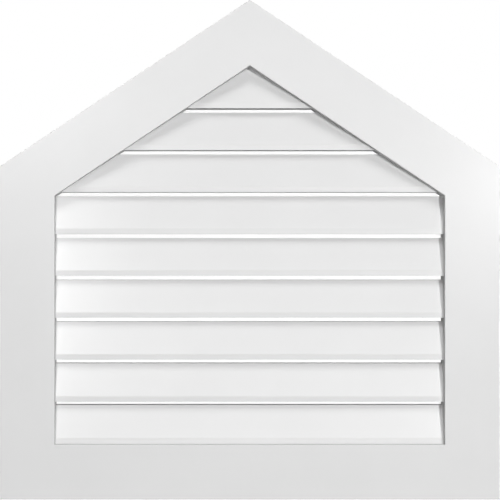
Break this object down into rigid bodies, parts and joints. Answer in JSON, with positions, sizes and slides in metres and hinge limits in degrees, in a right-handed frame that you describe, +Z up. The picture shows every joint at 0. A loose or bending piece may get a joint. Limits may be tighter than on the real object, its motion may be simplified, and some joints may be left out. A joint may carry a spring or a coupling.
{
  "type": "gable vent",
  "caption": "White peaked-top gable vent: mitred flat trim boards round fixed sloping louvers, with an insect screen behind, made to be fixed flat to an outside wall.",
  "frame": {"origin": "middle of the bottom edge, on the wall plane at the back of the boards", "axes": "+Z up the wall to the peak, +Y into the wall, +X to the right seen from the front"},
  "size_m": [0.8128, 0.0318, 0.8128],
  "materials": {
    "white_pvc": "smooth satin white cellular PVC",
    "screen_mesh": "white coated glass-fibre insect mesh",
    "staple_steel": "bright steel wire"
  },
  "bodies": {
    "root": {"bottom_rail": "white_pvc", "left_stile": "white_pvc", "right_stile": "white_pvc", "left_rake": "white_pvc", "right_rake": "white_pvc", "louver_1": "white_pvc", "louver_2": "white_pvc", "louver_3": "white_pvc", "louver_4": "white_pvc", "louver_5": "white_pvc", "louver_6": "white_pvc", "louver_7": "white_pvc", "louver_8": "white_pvc", "louver_9": "white_pvc", "insect_screen": "screen_mesh", "screen_staples": "staple_steel"}
  },
  "joints": []
}
